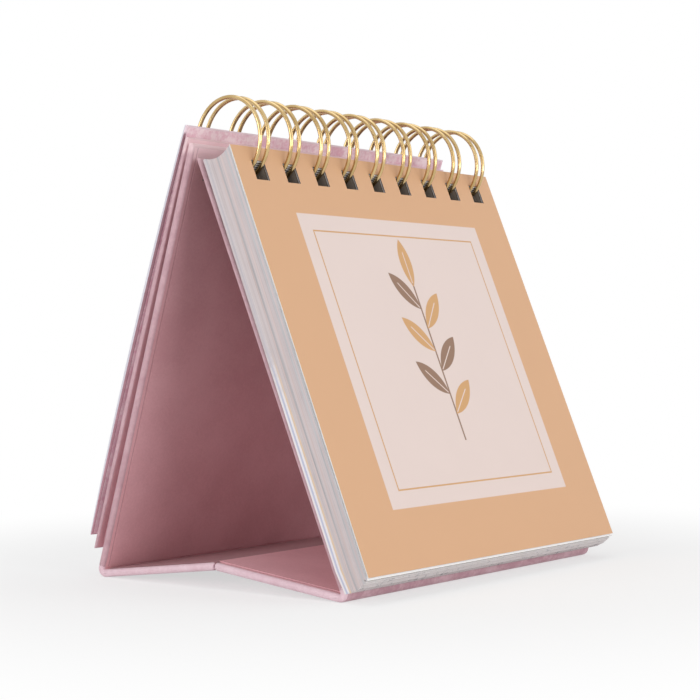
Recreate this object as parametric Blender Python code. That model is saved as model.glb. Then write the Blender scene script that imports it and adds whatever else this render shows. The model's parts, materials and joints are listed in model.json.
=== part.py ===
"""Standing flip book: wire-bound leaves and covers on a folding case-made stand.

Metres, +Z up, the printed leaves face -Y. The ring axis runs along X.
"""
import math

import bpy

MM = 0.001

# Wire binding
RING_RADIUS = 11.7 * MM         # centre line of the wire loops
WIRE_DIAMETER = 1.15 * MM
WIRE_CLEARANCE = 0.25 * MM      # between the wire and an edge of a punched hole
TWIN_SPACING = 3.3 * MM         # between the two wires of one loop
LOOP_COUNT = 9
LOOP_PITCH = 12.7 * MM
LOOP_SEGMENTS = 20
LINK_ANGLE = math.radians(44.0)     # from straight down the leaves towards the back
TIP_ANGLE = math.radians(51.1)
TIP_TUCK = 0.55 * MM            # how far the hairpin tips tuck inside the loop
TUCK_START = math.radians(82.5)
LINK_BEND = 0.8 * MM

# Punching, the same in every bound piece
HOLE_WIDTH = 5.2 * MM
HOLE_HEIGHT = 5.8 * MM
HOLE_MARGIN = 4.0 * MM          # from the bound edge to the top of a hole

# Leaves
LEAF_WIDTH = 120.0 * MM
LEAF_HEIGHT = 120.0 * MM
LEAF_COUNT = 16
LEAF_THICKNESS = 0.35 * MM
LEAF_GAP = 0.2 * MM
LEAF_REST = 0.2 * MM           # between the last leaf's lower edge and the front leg
FRONT_LEAF_OFFSET = 6.0 * MM    # front face of the first leaf, ahead of the ring axis
LEAF_BEND = 12.0 * MM           # from the bound edge to the line where a turned leaf bends
BEND_GAP = 0.3 * MM

# Boards and their papers
STAND_BOARD = 2.4 * MM          # whole thickness, papers included
COVER_BOARD = 1.2 * MM
BOARD_INSET = 0.5 * MM          # side edge of a board inside the side edge of the leaves
COVER_LENGTH = 120.0 * MM
COVER_SPLAY = math.radians(0.8)     # each cover stands off the board before it
STACK_GAP = 0.12 * MM           # between boards that lie on each other
CASE_PAPER = 0.22 * MM
LINER_PAPER = 0.18 * MM
LAYER_GAP = 0.05 * MM
TURN_IN = 12.0 * MM             # case paper folded onto the inner side
LINER_INSET = 2.3 * MM
EDGE_ROUND = 0.35 * MM

# Stand
FRONT_LEG_REACH = 125.5 * MM    # ring axis to the front hinge, along the leg
REAR_LEG_REACH = 126.15 * MM
FRONT_LEG_OFFSET = 7.4 * MM     # inner face of the leg from the ring axis
REAR_LEG_OFFSET = 5.4 * MM
FRONT_LEG_TOP = 2.8 * MM        # top edge of the leg below the ring axis
REAR_LEG_TOP = 3.0 * MM
BASE_SPAN = 85.9 * MM           # front hinge axis to rear hinge axis
BASE_RISE = 5.0 * MM            # middle fold above the hinge axes
HINGE_GAP = 0.4 * MM            # board end to hinge axis
HINGE_PAPER = 0.5 * MM          # case paper and liner glued together
HINGE_SEGMENTS = 10
MID_FOLD_HALF = 4.1 * MM        # soft part of a base panel beside the middle fold
MID_FOLD_TIP = 0.5 * MM
SEAM_GAP = 0.3 * MM

PEACH = (0.70, 0.43, 0.26)
PAPER_WHITE = (0.78, 0.76, 0.75)
PINK = (0.68, 0.40, 0.48)
DARK_PINK = (0.42, 0.19, 0.22)
GREYBOARD = (0.35, 0.32, 0.29)
GOLD = (0.75, 0.52, 0.22)

board_width = LEAF_WIDTH - 2 * BOARD_INSET

# The stand as a triangle: ring axis, front hinge, rear hinge
front_reach = math.hypot(FRONT_LEG_REACH, FRONT_LEG_OFFSET)
rear_reach = math.hypot(REAR_LEG_REACH, REAR_LEG_OFFSET)


def angle_from_vertical(side, other):
    """Lean of the line from a hinge up to the ring axis."""
    cosine = (side ** 2 + BASE_SPAN ** 2 - other ** 2) / (2 * side * BASE_SPAN)
    return math.pi / 2 - math.acos(cosine)


front_swing = angle_from_vertical(front_reach, rear_reach)
rear_swing = angle_from_vertical(rear_reach, front_reach)
front_lean = front_swing + math.atan2(FRONT_LEG_OFFSET, FRONT_LEG_REACH)
rear_lean = rear_swing - math.atan2(REAR_LEG_OFFSET, REAR_LEG_REACH)
ring_height = front_reach * math.cos(front_swing) + STAND_BOARD
base_slope = math.atan2(BASE_RISE, BASE_SPAN / 2)
base_panel = math.hypot(BASE_RISE, BASE_SPAN / 2)

# Radius that the top edge of a hung hole keeps clear of
hang_radius = RING_RADIUS - WIRE_DIAMETER / 2 - WIRE_CLEARANCE
back_cover_inner = REAR_LEG_OFFSET + STAND_BOARD + STACK_GAP
front_cover_inner = back_cover_inner + COVER_BOARD + STACK_GAP
front_cover_outer = front_cover_inner + COVER_BOARD


def hung_top(offset):
    """Bound edge of a piece that hangs on the wire, offset being its farther face from the axis."""
    return HOLE_MARGIN - math.sqrt(hang_radius ** 2 - offset ** 2)


# The block of leaves leans on the front leg at the bottom and stands off it at the wire
block_back = (LEAF_COUNT - 1) * (LEAF_THICKNESS + LEAF_GAP) + LEAF_THICKNESS - FRONT_LEAF_OFFSET
block_room = FRONT_LEG_OFFSET - STAND_BOARD - block_back - LEAF_REST
leaf_lean = front_lean - math.atan2(block_room, LEAF_HEIGHT - hung_top(block_back))

# The ring axis is set so that the whole object is centred on Y = 0
leaf_bottom = hung_top(FRONT_LEAF_OFFSET) - LEAF_HEIGHT
front_most = leaf_bottom * math.sin(leaf_lean) - FRONT_LEAF_OFFSET * math.cos(leaf_lean)
cover_bottom = hung_top(front_cover_outer) - COVER_LENGTH
cover_lean = rear_lean + 2 * COVER_SPLAY
rear_most = -cover_bottom * math.sin(cover_lean) + front_cover_outer * math.cos(cover_lean)
RING_AXIS = (0.0, -(front_most + rear_most) / 2, ring_height)
FRONT_HINGE = (0.0, RING_AXIS[1] - front_reach * math.sin(front_swing), STAND_BOARD)
REAR_HINGE = (0.0, RING_AXIS[1] + rear_reach * math.sin(rear_swing), STAND_BOARD)


def clear_scene():
    for old in list(bpy.data.objects):
        bpy.data.objects.remove(old, do_unlink=True)


def frame(name, location, angle, parent=None):
    """An empty that carries the pieces of one body, turned about X."""
    empty = bpy.data.objects.new(name, None)
    empty.location = location
    empty.rotation_euler = (angle, 0.0, 0.0)
    empty.parent = parent
    bpy.context.scene.collection.objects.link(empty)
    return empty


def finish(name, color, roughness, metallic=0.0):
    material = bpy.data.materials.new(name)
    material.use_nodes = True
    shader = material.node_tree.nodes["Principled BSDF"]
    shader.inputs["Base Color"].default_value = (*color, 1.0)
    shader.inputs["Roughness"].default_value = roughness
    shader.inputs["Metallic"].default_value = metallic
    return material


def place(name, data, parent, color, roughness, metallic=0.0):
    data.materials.clear()
    data.materials.append(finish(name, color, roughness, metallic))
    piece = bpy.data.objects.new(name, data)
    piece.parent = parent
    bpy.context.scene.collection.objects.link(piece)
    return piece


def solid(name, points, faces, low, high):
    """A closed mesh from a flat set of faces in XY, raised from low to high in Z."""
    count = len(points)
    vertices = [(x, y, low) for x, y in points] + [(x, y, high) for x, y in points]
    edges = {(face[i - 1], face[i]) for face in faces for i in range(len(face))}
    shell = [tuple(count + i for i in face) for face in faces]
    shell += [tuple(reversed(face)) for face in faces]
    shell += [(a, b, b + count, a + count) for a, b in sorted(edges) if (b, a) not in edges]
    mesh = bpy.data.meshes.new(name)
    mesh.from_pydata(vertices, [], shell)
    mesh.validate()
    return mesh


def hole_edges():
    """Left and right edges of the punched holes, from left to right."""
    first = -(LOOP_COUNT - 1) / 2 * LOOP_PITCH
    centres = [first + i * LOOP_PITCH for i in range(LOOP_COUNT)]
    return [(x - HOLE_WIDTH / 2, x + HOLE_WIDTH / 2) for x in centres]


def sheet(name, width, bottom, top, low, high, hole_top=None):
    """A flat rectangular piece, punched below hole_top where that is given."""
    half = width / 2
    if hole_top is None:
        corners = [(-half, bottom), (half, bottom), (half, top), (-half, top)]
        return solid(name, corners, [(0, 1, 2, 3)], low, high)
    stops = [-half] + [x for edges in hole_edges() for x in edges] + [half]
    size = len(stops)
    points = [(x, hole_top - HOLE_HEIGHT) for x in stops] + [(x, hole_top) for x in stops]
    points += [(-half, bottom), (half, bottom), (half, top), (-half, top)]
    lower = (2 * size, 2 * size + 1) + tuple(reversed(range(size)))
    upper = tuple(range(size, 2 * size)) + (2 * size + 2, 2 * size + 3)
    lands = [(i, i + 1, size + i + 1, size + i) for i in range(0, size, 2)]
    return solid(name, points, [lower, upper] + lands, low, high)


def prism(name, strip, half):
    """A piece of constant section along X. strip holds pairs of points across it, in YZ."""
    points = [point for pair in strip for point in pair]
    faces = [(2 * i + 1, 2 * i + 3, 2 * i + 2, 2 * i) for i in range(len(strip) - 1)]
    mesh = solid(name, points, faces, -half, half)
    for vertex in mesh.vertices:
        y, z, x = vertex.co
        vertex.co = (x, y, z)
    return mesh


def cutter(name, mesh, parent):
    tool = bpy.data.objects.new(name, mesh)
    tool.parent = parent
    tool.hide_render = True
    tool.display_type = "WIRE"
    bpy.context.scene.collection.objects.link(tool)
    return tool


def cut(piece, tool):
    modifier = piece.modifiers.new(tool.name, "BOOLEAN")
    modifier.operation = "DIFFERENCE"
    modifier.object = tool


def punches(name, hole_top, low, high):
    """All the holes of one board as separate blocks."""
    points = []
    faces = []
    for left, right in hole_edges():
        start = len(points)
        points += [(left, hole_top - HOLE_HEIGHT), (right, hole_top - HOLE_HEIGHT)]
        points += [(right, hole_top), (left, hole_top)]
        faces.append(tuple(range(start, start + 4)))
    return solid(name, points, faces, low, high)


def case_paper(name, parent, bottom, top, inner, outer, open_bottom, open_top, hole_top):
    """The paper round a board: outer side, free edges and turned-in flaps, open at hinged ends."""
    side = 1 if outer > inner else -1
    low, high = sorted((inner, outer))
    paper = sheet(name, board_width, bottom, top, low, high)
    wrap = place(name, paper, parent, PINK, 0.55)
    rounding = wrap.modifiers.new("rounded edges", "BEVEL")
    rounding.width = EDGE_ROUND
    rounding.segments = 2
    rounding.limit_method = "ANGLE"
    past = TURN_IN
    ends = (bottom - past if open_bottom else bottom + CASE_PAPER,
            top + past if open_top else top - CASE_PAPER)
    flaps = (bottom - past if open_bottom else bottom + TURN_IN,
             top + past if open_top else top - TURN_IN)
    pocket = sorted((inner + side * CASE_PAPER, outer - side * CASE_PAPER))
    window = sorted((inner - side * CASE_PAPER, inner + side * 1.5 * CASE_PAPER))
    room = sheet(name + ".room", board_width - 2 * CASE_PAPER, *ends, *pocket)
    cut(wrap, cutter(name + ".room", room, parent))
    opening = sheet(name + ".opening", board_width - 2 * TURN_IN, *flaps, *window)
    cut(wrap, cutter(name + ".opening", opening, parent))
    if hole_top is not None:
        blocks = punches(name + ".punch", hole_top, low - STAND_BOARD, high + STAND_BOARD)
        cut(wrap, cutter(name + ".punch", blocks, parent))


def board(name, parent, bottom, top, inner, outer, open_bottom=False, open_top=False, hole_top=None):
    """A greyboard panel, the case paper round it and the liner pasted over its inner side."""
    side = 1 if outer > inner else -1
    turned = inner + side * (LINER_PAPER + LAYER_GAP)
    case_paper(name + "_case_paper", parent, bottom, top, turned, outer, open_bottom, open_top, hole_top)
    hem = CASE_PAPER + LAYER_GAP
    core_faces = sorted((turned + side * hem, outer - side * hem))
    core_bottom = bottom if open_bottom else bottom + hem
    core_top = top if open_top else top - hem
    core = sheet(name + "_greyboard", board_width - 2 * hem, core_bottom, core_top, *core_faces, hole_top)
    place(core.name, core, parent, GREYBOARD, 0.9)
    liner_bottom = bottom if open_bottom else bottom + LINER_INSET
    liner_top = top if open_top else top - LINER_INSET
    liner_faces = sorted((inner, inner + side * LINER_PAPER))
    liner_width = board_width - 2 * LINER_INSET
    liner = sheet(name + "_liner", liner_width, liner_bottom, liner_top, *liner_faces, hole_top)
    place(liner.name, liner, parent, DARK_PINK, 0.7)


def front_leg(parent):
    bottom = HINGE_GAP - FRONT_LEG_REACH
    board("front_leg", parent, bottom, -FRONT_LEG_TOP, -FRONT_LEG_OFFSET, STAND_BOARD - FRONT_LEG_OFFSET,
          open_bottom=True, hole_top=-FRONT_LEG_TOP - HOLE_MARGIN)


def rear_leg(parent):
    bottom = HINGE_GAP - REAR_LEG_REACH
    board("rear_leg", parent, bottom, -REAR_LEG_TOP, -REAR_LEG_OFFSET, -REAR_LEG_OFFSET - STAND_BOARD,
          open_bottom=True, hole_top=-REAR_LEG_TOP - HOLE_MARGIN)


def back_cover(parent):
    outer = back_cover_inner + COVER_BOARD
    top = hung_top(outer)
    board("back_cover", parent, top - COVER_LENGTH, top, -back_cover_inner, -outer,
          hole_top=top - HOLE_MARGIN)


def front_cover(parent):
    """Turned over to the back, so its liner faces away from the stand."""
    top = hung_top(front_cover_outer)
    board("front_cover", parent, top - COVER_LENGTH, top, -front_cover_outer, -front_cover_inner,
          hole_top=top - HOLE_MARGIN)


def base_panels(front, rear):
    end = base_panel - MID_FOLD_HALF
    board("base_front", front, HINGE_GAP, end, 0.0, -STAND_BOARD, open_bottom=True, open_top=True)
    board("base_rear", rear, HINGE_GAP, end, 0.0, STAND_BOARD, open_bottom=True, open_top=True)


def corner_hinge(name, parent, start, end):
    """A band of paper round a bottom corner, concentric with the hinge axis."""
    outer = STAND_BOARD
    inner = STAND_BOARD - HINGE_PAPER
    strip = []
    for i in range(HINGE_SEGMENTS + 1):
        angle = start + (end - start) * i / HINGE_SEGMENTS
        ray = (math.cos(angle), math.sin(angle))
        strip.append(((inner * ray[0], inner * ray[1]), (outer * ray[0], outer * ray[1])))
    place(name, prism(name, strip, board_width / 2), parent, PINK, 0.55)


def corner_hinges(front, rear):
    """The bands run from square to the leg's outer face to square to the base's underside."""
    corner_hinge("front_hinge", front, math.pi - front_lean, math.pi * 1.5 + base_slope)
    corner_hinge("rear_hinge", rear, math.pi * 1.5 - base_slope, math.pi * 2 + rear_lean)


def mid_fold(name, parent, side):
    """The soft end of a base panel, thinning to the crease of the middle fold."""
    start = base_panel - MID_FOLD_HALF + SEAM_GAP
    end = base_panel - SEAM_GAP
    strip = [((start, 0.0), (start, side * STAND_BOARD)),
             ((end, 0.0), (end, side * MID_FOLD_TIP))]
    if side > 0:
        strip.reverse()
    place(name, prism(name, strip, board_width / 2), parent, PINK, 0.55)


def leaves(parent):
    """The leaves behind the first one, each hung on the curve of the wire."""
    for number in range(2, LEAF_COUNT + 1):
        front = FRONT_LEAF_OFFSET - (number - 1) * (LEAF_THICKNESS + LEAF_GAP)
        back = front - LEAF_THICKNESS
        top = hung_top(max(abs(front), abs(back)))
        name = f"leaf_{number:02d}"
        leaf = sheet(name, LEAF_WIDTH, top - LEAF_HEIGHT, top, back, front, top - HOLE_MARGIN)
        place(name, leaf, parent, PAPER_WHITE, 0.6)


def first_leaf(margin_frame, sheet_frame):
    """The printed leaf in front: its punched margin, and the sheet that bends on the printed side."""
    back = FRONT_LEAF_OFFSET - LEAF_THICKNESS
    top = hung_top(FRONT_LEAF_OFFSET)
    margin = sheet("leaf_01_margin", LEAF_WIDTH, top - LEAF_BEND, top, back, FRONT_LEAF_OFFSET,
                   top - HOLE_MARGIN)
    place(margin.name, margin, margin_frame, PEACH, 0.5)
    length = LEAF_HEIGHT - LEAF_BEND
    page = sheet("leaf_01_sheet", LEAF_WIDTH, -length, -BEND_GAP, -LEAF_THICKNESS, 0.0)
    place(page.name, page, sheet_frame, PEACH, 0.5)


def ring_point(x, angle, radius):
    return (x, -radius * math.cos(angle), -radius * math.sin(angle))


def loop_radius(angle):
    """The loop's radius, drawn in towards the tips. Angles run down from the link to the tip."""
    left = (angle + 2 * math.pi - TIP_ANGLE) / (TUCK_START - TIP_ANGLE)
    share = min(max(left, 0.0), 1.0)
    return RING_RADIUS - TIP_TUCK * (1.0 - share)


def loop_points(centre):
    """One hairpin loop, from its left link round to the tip and back to its right link."""
    half = TWIN_SPACING / 2
    start = LINK_ANGLE - LINK_BEND / RING_RADIUS
    tip_radius = RING_RADIUS - TIP_TUCK
    end = TIP_ANGLE - 2 * math.pi + half / tip_radius
    turns = [start + (end - start) * i / LOOP_SEGMENTS for i in range(LOOP_SEGMENTS + 1)]
    left = [ring_point(centre - half, a, loop_radius(a)) for a in turns]
    right = [ring_point(centre + half, a, loop_radius(a)) for a in turns]
    tip = []
    for degrees in (150, 120, 90, 60, 30):
        turn = math.radians(degrees)
        angle = end - half * math.sin(turn) / tip_radius
        tip.append(ring_point(centre + half * math.cos(turn), angle, tip_radius))
    return left + tip + right[::-1]


def link_points(x, side):
    """The bend from a loop into the straight link beside it."""
    points = []
    for degrees in (45, 90):
        turn = math.radians(degrees)
        angle = LINK_ANGLE - LINK_BEND * (1 - math.sin(turn)) / RING_RADIUS
        points.append(ring_point(x + side * LINK_BEND * (1 - math.cos(turn)), angle, RING_RADIUS))
    return points


def wire_binding(parent):
    """One continuous twin-loop wire, its seam inside the stand where no leaf passes."""
    first = -(LOOP_COUNT - 1) / 2 * LOOP_PITCH
    half = TWIN_SPACING / 2
    points = []
    for i in range(LOOP_COUNT):
        centre = first + i * LOOP_PITCH
        if i > 0:
            points += link_points(centre - half, -1)[::-1]
        points += loop_points(centre)
        if i < LOOP_COUNT - 1:
            points += link_points(centre + half, 1)
    wire = bpy.data.curves.new("wire_binding", "CURVE")
    wire.dimensions = "3D"
    wire.bevel_depth = WIRE_DIAMETER / 2
    wire.bevel_resolution = 1
    wire.use_fill_caps = True
    spline = wire.splines.new("POLY")
    spline.points.add(len(points) - 1)
    for point, place_at in zip(spline.points, points):
        point.co = (*place_at, 1.0)
    spline.use_smooth = True
    place("wire_binding", wire, parent, GOLD, 0.25, 1.0)


def main():
    clear_scene()
    front = frame("front_frame", RING_AXIS, math.pi / 2 - front_lean)
    rear = frame("rear_frame", RING_AXIS, math.pi / 2 + rear_lean)
    back = frame("back_cover_frame", RING_AXIS, math.pi / 2 + rear_lean + COVER_SPLAY)
    cover = frame("front_cover_frame", RING_AXIS, math.pi / 2 + cover_lean)
    block = frame("block_frame", RING_AXIS, math.pi / 2 - leaf_lean)
    margin = frame("leaf_frame", RING_AXIS, math.pi / 2 - leaf_lean)
    bend = (0.0, hung_top(FRONT_LEAF_OFFSET) - LEAF_BEND, FRONT_LEAF_OFFSET)
    page = frame("leaf_bend_frame", bend, 0.0, margin)
    base_front = frame("base_front_frame", FRONT_HINGE, base_slope)
    base_rear = frame("base_rear_frame", REAR_HINGE, math.pi - base_slope)
    front_corner = frame("front_hinge_frame", FRONT_HINGE, 0.0)
    rear_corner = frame("rear_hinge_frame", REAR_HINGE, 0.0)

    front_leg(front)
    rear_leg(rear)
    back_cover(back)
    front_cover(cover)
    base_panels(base_front, base_rear)
    corner_hinges(front_corner, rear_corner)
    mid_fold("mid_fold_front", base_front, -1)
    mid_fold("mid_fold_rear", base_rear, 1)
    leaves(block)
    first_leaf(margin, page)
    wire_binding(block)


main()
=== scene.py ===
import json
import math

import bmesh
import bpy
from mathutils import Matrix, Vector


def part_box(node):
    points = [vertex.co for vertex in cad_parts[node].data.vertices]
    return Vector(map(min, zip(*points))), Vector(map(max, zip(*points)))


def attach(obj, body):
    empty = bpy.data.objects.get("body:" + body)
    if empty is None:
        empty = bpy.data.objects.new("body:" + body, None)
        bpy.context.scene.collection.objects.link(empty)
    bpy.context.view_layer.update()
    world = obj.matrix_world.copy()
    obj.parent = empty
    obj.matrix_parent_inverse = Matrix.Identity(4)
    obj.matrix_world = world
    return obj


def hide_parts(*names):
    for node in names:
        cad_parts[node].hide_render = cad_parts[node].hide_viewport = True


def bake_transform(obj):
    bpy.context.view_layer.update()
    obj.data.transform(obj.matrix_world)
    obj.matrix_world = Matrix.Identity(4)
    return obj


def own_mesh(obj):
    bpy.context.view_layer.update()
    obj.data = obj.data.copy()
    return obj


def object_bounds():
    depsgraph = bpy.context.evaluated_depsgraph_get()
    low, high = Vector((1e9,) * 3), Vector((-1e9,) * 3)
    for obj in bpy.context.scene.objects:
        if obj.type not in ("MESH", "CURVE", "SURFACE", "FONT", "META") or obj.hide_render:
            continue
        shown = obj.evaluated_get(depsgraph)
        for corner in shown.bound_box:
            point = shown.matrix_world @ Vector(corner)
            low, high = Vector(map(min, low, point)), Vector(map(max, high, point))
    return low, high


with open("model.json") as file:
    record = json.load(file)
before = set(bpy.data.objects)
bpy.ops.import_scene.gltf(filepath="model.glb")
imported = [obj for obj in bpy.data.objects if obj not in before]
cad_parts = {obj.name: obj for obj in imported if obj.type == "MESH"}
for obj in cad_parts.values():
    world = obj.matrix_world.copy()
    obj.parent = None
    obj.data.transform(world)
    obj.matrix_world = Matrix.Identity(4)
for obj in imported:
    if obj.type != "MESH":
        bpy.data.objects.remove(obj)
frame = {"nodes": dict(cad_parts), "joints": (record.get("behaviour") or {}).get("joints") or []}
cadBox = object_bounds()
mm = 0.001
hair = 1e-7  # closer than this is the same place

# where the stand turns, from the frame's own joints
joints = {joint["name"]: joint for joint in frame["joints"]}
ringAxis = Vector(joints["fold"]["pos_m"])
frontCorner = Vector(joints["base_front_fold"]["pos_m"])
rearCorner = Vector(joints["base_rear_fold"]["pos_m"])
leafCrease = Vector(joints["leaf_bend"]["pos_m"])
print("frame loaded:", len(frame["nodes"]), "nodes")


# one socket of a shader tree, so that shader maths reads as Python
class Shade:
    def __init__(self, tree, socket):
        self.tree = tree
        self.socket = socket

    def node(self, kind, settings, sockets, output=0):
        made = self.tree.nodes.new(kind)
        for key, value in settings.items():
            setattr(made, key, value)
        for key, value in sockets.items():
            if isinstance(value, Shade):
                self.tree.links.new(value.socket, made.inputs[key])
            else:
                made.inputs[key].default_value = value
        return Shade(self.tree, made.outputs[output])

    def flat(self):
        return self.socket.type == "VALUE"

    def pair(self, operation, first, second):
        shades = [one for one in (first, second) if isinstance(one, Shade)]
        if all(one.flat() for one in shades):
            return self.node("ShaderNodeMath", {"operation": operation}, {0: first, 1: second})
        wide = [one if isinstance(one, (Shade, tuple)) else (one, one, one) for one in (first, second)]
        return self.node("ShaderNodeVectorMath", {"operation": operation}, {0: wide[0], 1: wide[1]})

    def __add__(self, other):
        return self.pair("ADD", self, other)

    def __radd__(self, other):
        return self.pair("ADD", other, self)

    def __sub__(self, other):
        return self.pair("SUBTRACT", self, other)

    def __rsub__(self, other):
        return self.pair("SUBTRACT", other, self)

    def __mul__(self, other):
        return self.pair("MULTIPLY", self, other)

    def __rmul__(self, other):
        return self.pair("MULTIPLY", other, self)

    def __truediv__(self, other):
        return self.pair("DIVIDE", self, other)

    def __rtruediv__(self, other):
        return self.pair("DIVIDE", other, self)

    def most(self, other):
        return self.pair("MAXIMUM", self, other)

    def size(self):
        return self.node("ShaderNodeMath", {"operation": "ABSOLUTE"}, {0: self})

    def root(self):
        return self.node("ShaderNodeMath", {"operation": "SQRT"}, {0: self})

    def along(self, direction):
        settings = {"operation": "DOT_PRODUCT"}
        return self.node("ShaderNodeVectorMath", settings, {0: self, 1: direction}, "Value")

    def part(self, name):
        return self.node("ShaderNodeSeparateXYZ", {}, {0: self}, name)

    def step(self, low, high):
        settings = {"interpolation_type": "SMOOTHSTEP"}
        sockets = {"Value": self, "From Min": low, "From Max": high}
        return self.node("ShaderNodeMapRange", settings, sockets)

    def blend(self, first, second):
        settings = {"data_type": "RGBA", "clamp_factor": True}
        return self.node("ShaderNodeMix", settings, {0: self, 6: first, 7: second}, 2)

    def grain(self, scale, detail=2.0, roughness=0.5):
        sockets = {"Vector": self, "Scale": scale, "Detail": detail, "Roughness": roughness}
        return self.node("ShaderNodeTexNoise", {}, sockets)

    def bump(self, strength, depth):
        sockets = {"Height": self, "Strength": strength, "Distance": depth}
        return self.node("ShaderNodeBump", {}, sockets)


# a new finish: the material, its shader, and the coordinates that the pattern follows
def startFinish(name, fixed, source="Object"):
    material = bpy.data.materials.new(name)
    material.use_nodes = True
    tree = material.node_tree
    shader = tree.nodes["Principled BSDF"]
    for key, value in fixed.items():
        shader.inputs[key].default_value = value
    places = tree.nodes.new("ShaderNodeTexCoord")
    return material, shader, Shade(tree, places.outputs[source])


def feed(shade, shader, name):
    shade.tree.links.new(shade.socket, shader.inputs[name])


def rgb(color):
    return (*color, 1.0)


# in the looks, a grain is its scale, detail and roughness, a range its two ends,
# and a bump its strength and depth
mottleLook = {
    "cloud": (3.0, 0.55), "speck": (4.0, 0.65), "fibre": 2.0,  # detail and roughness; the papers set the scales
    "cloudShare": 0.55, "speckShare": 0.45, "swing": 0.25, "sheenRoughness": 0.6,
}


# covering paper: soft suede-like mottle over a fine fibre; it may carry painted shade that darkens it towards
# the top and lightens it towards the foot, a paler painted light along its top, and a painted shadow line where
# a lining begins
def coveringPaper(name, look, crease=None):
    material, shader, place = startFinish(name, {
        "Specular IOR Level": look["gloss"], "Sheen Weight": look["sheen"],
        "Sheen Roughness": mottleLook["sheenRoughness"],
    })
    cloud = place.grain(look["cloudScale"], *mottleLook["cloud"])
    speck = place.grain(look["speckScale"], *mottleLook["speck"])
    fibre = place.grain(look["fibreScale"], mottleLook["fibre"])
    mottle = cloud * mottleLook["cloudShare"] + speck * mottleLook["speckShare"]
    color = mottle.step(*look["tone"]).blend(rgb(look["deep"]), rgb(look["pale"]))
    # painted shade: darker towards the top and lighter towards the foot
    if "heightShade" in look:
        risen = place.part("Z").step(0.0, look["heightShadeTop"])
        color = color * (1.0 + look["heightShade"] * (0.5 - risen))
    # painted light: a paler colour along the top
    if "paintedTopLight" in look:
        risen = place.part("Z").step(*look["paintedTopLightRange"])
        color = risen.blend(color, rgb(look["paintedTopLight"]))
    # painted shadow: a dark line where the lining's edge begins on the turned-in paper
    if crease:
        away = (place.part("X").size() - crease["place"]).size()
        shaded = away.step(crease["width"], 0.0) * crease["depth"]
        color = shaded.blend(color, rgb(crease["color"]))
    feed(color, shader, "Base Color")
    feed(look["roughness"] + (speck - 0.5) * mottleLook["swing"], shader, "Roughness")
    feed((fibre * 0.5 + speck * 0.5).bump(*look["bump"]), shader, "Normal")
    return material


casePaperLook = {
    "deep": (0.680, 0.350, 0.445), "pale": (0.870, 0.615, 0.690), "tone": (0.38, 0.62),
    "cloudScale": 170.0, "speckScale": 900.0, "fibreScale": 5200.0,
    "roughness": 0.62, "gloss": 0.3, "sheen": 0.12, "bump": (0.35, 0.00012),
}
# lining paper, with painted shade by height and a paler painted light along its top
linerLook = {
    "deep": (0.615, 0.331, 0.361), "pale": (0.703, 0.405, 0.438), "tone": (0.30, 0.70),
    "cloudScale": 60.0, "speckScale": 1400.0, "fibreScale": 6500.0, "heightShade": 0.36, "heightShadeTop": 120.0 * mm,
    "paintedTopLight": (0.860, 0.610, 0.650), "paintedTopLightRange": (114.5 * mm, 116.5 * mm),
    "roughness": 0.66, "gloss": 0.25, "sheen": 0.05, "bump": (0.2, 0.00008),
}
endPaperLook = {
    "deep": (0.640, 0.610, 0.665), "pale": (0.740, 0.715, 0.750), "tone": (0.30, 0.70),
    "cloudScale": 70.0, "speckScale": 1300.0, "fibreScale": 6500.0,
    "roughness": 0.6, "gloss": 0.3, "sheen": 0.0, "bump": (0.15, 0.00006),
}
# the same papers with painted light and shade at the rims, in the base and along the top strip, and a darker
# case paper round the foot
# painted shade: the rims of the legs and the back cover darker than the case paper, with a paler painted light
# along their top
shadedLegRimLook = {
    **casePaperLook, "deep": (0.500, 0.295, 0.335), "pale": (0.620, 0.405, 0.445), "tone": (0.30, 0.70),
    "paintedTopLight": (0.780, 0.560, 0.590), "paintedTopLightRange": (116.5 * mm, 118.5 * mm),
}
# painted light: the rims of the base, the corners and the middle fold paler than the case paper
litBaseRimLook = {
    **casePaperLook, "deep": (0.720, 0.490, 0.555), "pale": (0.840, 0.640, 0.700), "tone": (0.28, 0.72),
}
baseLinerLook = {**linerLook, "deep": (0.640, 0.340, 0.375), "pale": (0.730, 0.420, 0.455)}
# painted shade: the rear base panel's lining much darker than the other linings
shadedRearBaseLinerLook = {**linerLook, "deep": (0.325, 0.155, 0.172), "pale": (0.372, 0.192, 0.208)}
# painted light: the front cover's outer face, seen as the strip above the page, paler than the case paper
litStripLook = {**casePaperLook, "deep": (0.780, 0.460, 0.550), "pale": (0.940, 0.760, 0.800)}
footLook = {**casePaperLook, "deep": (0.540, 0.300, 0.355), "pale": (0.680, 0.455, 0.505)}
# the front cover's rim: the case paper darker as painted shade and darker still towards the top, with
# a paler painted light along its top; and the pale edge of its end paper on the side turned away
shadedCoverRimLook = {
    **casePaperLook, "deep": (0.320, 0.152, 0.188), "pale": (0.400, 0.212, 0.252),
    "heightShade": 0.5, "heightShadeTop": 110.0 * mm,
    "paintedTopLight": (0.800, 0.620, 0.680), "paintedTopLightRange": (122.4 * mm, 123.4 * mm),
}
endEdgeLook = {**endPaperLook, "deep": (0.640, 0.610, 0.680), "pale": (0.740, 0.710, 0.770)}
# painted shadow: a dark line along the lining's edge on the turned-in paper
linerEdgeShadowLook = {"place": 57.32 * mm, "width": 0.28 * mm, "depth": 0.4, "color": (0.16, 0.06, 0.075)}

casePaper = coveringPaper("casePaper", casePaperLook)
shadedLegRim = coveringPaper("shadedLegRim", shadedLegRimLook)
litBaseRim = coveringPaper("litBaseRim", litBaseRimLook)
linerPaper = coveringPaper("linerPaper", linerLook)
baseLiner = coveringPaper("baseLiner", baseLinerLook)
shadedRearBaseLiner = coveringPaper("shadedRearBaseLiner", shadedRearBaseLinerLook)
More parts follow.
